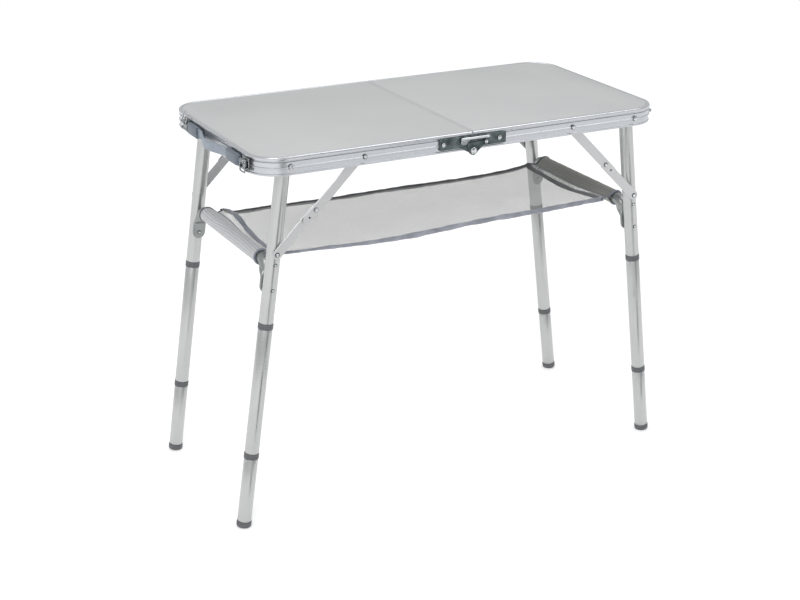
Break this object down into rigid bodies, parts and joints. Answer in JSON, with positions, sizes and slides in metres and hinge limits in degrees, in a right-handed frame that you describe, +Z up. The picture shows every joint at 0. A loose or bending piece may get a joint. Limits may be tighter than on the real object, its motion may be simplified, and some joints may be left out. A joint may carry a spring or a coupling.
{
  "type": "camp kitchen table",
  "caption": "Folding camp kitchen table: suitcase top with aluminium edge, toggle-braced folding legs with plug-in extensions, mesh shelf and carry handle",
  "frame": {"origin": "on the floor, under the middle of the table top", "axes": "+X along the table towards the end with the catches, -Y the front, +Z up"},
  "size_m": [0.8866, 0.4144, 0.6819],
  "materials": {
    "satin_aluminium": "satin",
    "top_laminate": "satin light grey laminate on a board core",
    "dark_zinc": "dark zinc plated",
    "bright_plating": "bright plated",
    "collar_plastic": "matte",
    "handle_plastic": "matte",
    "shelf_mesh": "open mesh"
  },
  "bodies": {
    "left_half": {"left_frame": "satin_aluminium", "left_panel": "top_laminate", "left_hinge_plate_front": "dark_zinc", "left_hinge_plate_back": "dark_zinc", "left_leg_pivot_front": "bright_plating", "left_leg_pivot_back": "bright_plating", "handle_strap": "handle_plastic", "handle_cap_front": "handle_plastic", "handle_cap_back": "handle_plastic", "latch_base_front": "bright_plating", "latch_base_back": "bright_plating", "mesh_shelf": "shelf_mesh"},
    "right_half": {"right_frame": "satin_aluminium", "right_panel": "top_laminate", "right_hinge_plate_front": "dark_zinc", "right_hinge_plate_back": "dark_zinc", "right_leg_pivot_front": "bright_plating", "right_leg_pivot_back": "bright_plating", "catch_front": "bright_plating", "catch_back": "bright_plating"},
    "left_leg_frame": {"left_crossbar": "satin_aluminium", "left_front_upper_leg": "satin_aluminium", "left_back_upper_leg": "satin_aluminium"},
    "right_leg_frame": {"right_crossbar": "satin_aluminium", "right_front_upper_leg": "satin_aluminium", "right_back_upper_leg": "satin_aluminium"},
    "left_front_upper_brace": {"left_upper_link_front": "satin_aluminium"},
    "left_front_lower_brace": {"left_front_lower_link": "satin_aluminium"},
    "left_front_extension": {"left_front_upper_collar": "collar_plastic", "left_front_middle_leg": "satin_aluminium"},
    "left_front_end_piece": {"left_front_lower_collar": "collar_plastic", "left_front_lower_leg": "satin_aluminium", "left_front_foot": "collar_plastic"},
    "left_back_upper_brace": {"left_upper_link_back": "satin_aluminium"},
    "left_back_lower_brace": {"left_back_lower_link": "satin_aluminium"},
    "left_back_extension": {"left_back_upper_collar": "collar_plastic", "left_back_middle_leg": "satin_aluminium"},
    "left_back_end_piece": {"left_back_lower_collar": "collar_plastic", "left_back_lower_leg": "satin_aluminium", "left_back_foot": "collar_plastic"},
    "right_front_upper_brace": {"right_upper_link_front": "satin_aluminium"},
    "right_front_lower_brace": {"right_front_lower_link": "satin_aluminium"},
    "right_front_extension": {"right_front_upper_collar": "collar_plastic", "right_front_middle_leg": "satin_aluminium"},
    "right_front_end_piece": {"right_front_lower_collar": "collar_plastic", "right_front_lower_leg": "satin_aluminium", "right_front_foot": "collar_plastic"},
    "right_back_upper_brace": {"right_upper_link_back": "satin_aluminium"},
    "right_back_lower_brace": {"right_back_lower_link": "satin_aluminium"},
    "right_back_extension": {"right_back_upper_collar": "collar_plastic", "right_back_middle_leg": "satin_aluminium"},
    "right_back_end_piece": {"right_back_lower_collar": "collar_plastic", "right_back_lower_leg": "satin_aluminium", "right_back_foot": "collar_plastic"},
    "lock_front": {"lock_bar_front": "bright_plating"},
    "lever_front": {"latch_lever_front": "bright_plating"},
    "loop_front": {"latch_loop_front": "bright_plating"},
    "lock_back": {"lock_bar_back": "bright_plating"},
    "lever_back": {"latch_lever_back": "bright_plating"},
    "loop_back": {"latch_loop_back": "bright_plating"}
  },
  "joints": [
    {"name": "case_fold", "type": "hinge", "parent": "left_half", "child": "right_half", "pos_m": [0, 0, 0.641], "axis": [0, 1, 0], "range_deg": [0, 60], "deforming": ["mesh_shelf"]},
    {"name": "left_leg_fold", "type": "hinge", "parent": "left_half", "child": "left_leg_frame", "pos_m": [-0.3415, 0, 0.656], "axis": [0, -1, 0], "range_deg": [0, 97.73], "deforming": ["mesh_shelf"]},
    {"name": "right_leg_fold", "type": "hinge", "parent": "right_half", "child": "right_leg_frame", "pos_m": [0.3415, 0, 0.656], "axis": [0, 1, 0], "range_deg": [0, 97.73], "deforming": ["mesh_shelf"]},
    {"name": "left_front_upper_brace_turn", "type": "hinge", "parent": "left_half", "child": "left_front_upper_brace", "pos_m": [-0.207, 0, 0.656], "axis": [0, -1, 0], "range_deg": [0, 135.42]},
    {"name": "left_front_lower_brace_turn", "type": "hinge", "parent": "left_leg_frame", "child": "left_front_lower_brace", "pos_m": [-0.36234, 0, 0.50241], "axis": [0, 1, 0], "range_deg": [0, 142.5]},
    {"name": "left_front_extension_pull", "type": "slide", "parent": "left_leg_frame", "child": "left_front_extension", "axis": [-0.1344, 0, -0.9909], "range_m": [0, 0.45]},
    {"name": "left_front_end_piece_pull", "type": "slide", "parent": "left_front_extension", "child": "left_front_end_piece", "axis": [-0.1344, 0, -0.9909], "range_m": [0, 0.12]},
    {"name": "left_back_upper_brace_turn", "type": "hinge", "parent": "left_half", "child": "left_back_upper_brace", "pos_m": [-0.207, 0, 0.656], "axis": [0, -1, 0], "range_deg": [0, 135.42]},
    {"name": "left_back_lower_brace_turn", "type": "hinge", "parent": "left_leg_frame", "child": "left_back_lower_brace", "pos_m": [-0.36234, 0, 0.50241], "axis": [0, 1, 0], "range_deg": [0, 142.5]},
    {"name": "left_back_extension_pull", "type": "slide", "parent": "left_leg_frame", "child": "left_back_extension", "axis": [-0.1344, 0, -0.9909], "range_m": [0, 0.45]},
    {"name": "left_back_end_piece_pull", "type": "slide", "parent": "left_back_extension", "child": "left_back_end_piece", "axis": [-0.1344, 0, -0.9909], "range_m": [0, 0.12]},
    {"name": "right_front_upper_brace_turn", "type": "hinge", "parent": "right_half", "child": "right_front_upper_brace", "pos_m": [0.207, 0, 0.656], "axis": [0, 1, 0], "range_deg": [0, 135.42]},
    {"name": "right_front_lower_brace_turn", "type": "hinge", "parent": "right_leg_frame", "child": "right_front_lower_brace", "pos_m": [0.36234, 0, 0.50241], "axis": [0, -1, 0], "range_deg": [0, 142.5]},
    {"name": "right_front_extension_pull", "type": "slide", "parent": "right_leg_frame", "child": "right_front_extension", "axis": [0.1344, 0, -0.9909], "range_m": [0, 0.45]},
    {"name": "right_front_end_piece_pull", "type": "slide", "parent": "right_front_extension", "child": "right_front_end_piece", "axis": [0.1344, 0, -0.9909], "range_m": [0, 0.12]},
    {"name": "right_back_upper_brace_turn", "type": "hinge", "parent": "right_half", "child": "right_back_upper_brace", "pos_m": [0.207, 0, 0.656], "axis": [0, 1, 0], "range_deg": [0, 135.42]},
    {"name": "right_back_lower_brace_turn", "type": "hinge", "parent": "right_leg_frame", "child": "right_back_lower_brace", "pos_m": [0.36234, 0, 0.50241], "axis": [0, -1, 0], "range_deg": [0, 142.5]},
    {"name": "right_back_extension_pull", "type": "slide", "parent": "right_leg_frame", "child": "right_back_extension", "axis": [0.1344, 0, -0.9909], "range_m": [0, 0.45]},
    {"name": "right_back_end_piece_pull", "type": "slide", "parent": "right_back_extension", "child": "right_back_end_piece", "axis": [0.1344, 0, -0.9909], "range_m": [0, 0.12]},
    {"name": "lock_bar_front_lift", "type": "hinge", "parent": "left_half", "child": "lock_front", "pos_m": [-0.0205, 0, 0.657], "axis": [0, -1, 0], "range_deg": [0, 90]},
    {"name": "lock_bar_back_lift", "type": "hinge", "parent": "left_half", "child": "lock_back", "pos_m": [-0.0205, 0, 0.657], "axis": [0, -1, 0], "range_deg": [0, 90]},
    {"name": "latch_lever_front_swing", "type": "hinge", "parent": "left_half", "child": "lever_front", "pos_m": [-0.4046, 0, 0.65], "axis": [0, -1, 0], "range_deg": [0, 90]},
    {"name": "latch_loop_front_tilt", "type": "hinge", "parent": "lever_front", "child": "loop_front", "pos_m": [-0.4074, 0, 0.663], "axis": [0, -1, 0], "range_deg": [-90, 0]},
    {"name": "latch_lever_back_swing", "type": "hinge", "parent": "left_half", "child": "lever_back", "pos_m": [-0.4046, 0, 0.65], "axis": [0, -1, 0], "range_deg": [0, 90]},
    {"name": "latch_loop_back_tilt", "type": "hinge", "parent": "lever_back", "child": "loop_back", "pos_m": [-0.4074, 0, 0.663], "axis": [0, -1, 0], "range_deg": [0, 110]}
  ],
  "couplings": [
    {"joint": "left_front_upper_brace_turn", "follows": "left_leg_fold", "ratio": 1.3847},
    {"joint": "left_front_lower_brace_turn", "follows": "left_leg_fold", "ratio": 1.4572},
    {"joint": "left_back_upper_brace_turn", "follows": "left_leg_fold", "ratio": 1.3847},
    {"joint": "left_back_lower_brace_turn", "follows": "left_leg_fold", "ratio": 1.4572},
    {"joint": "right_front_upper_brace_turn", "follows": "right_leg_fold", "ratio": 1.3847},
    {"joint": "right_front_lower_brace_turn", "follows": "right_leg_fold", "ratio": 1.4572},
    {"joint": "right_back_upper_brace_turn", "follows": "right_leg_fold", "ratio": 1.3847},
    {"joint": "right_back_lower_brace_turn", "follows": "right_leg_fold", "ratio": 1.4572},
    {"joint": "latch_loop_front_tilt", "follows": "latch_lever_front_swing", "ratio": -1}
  ]
}
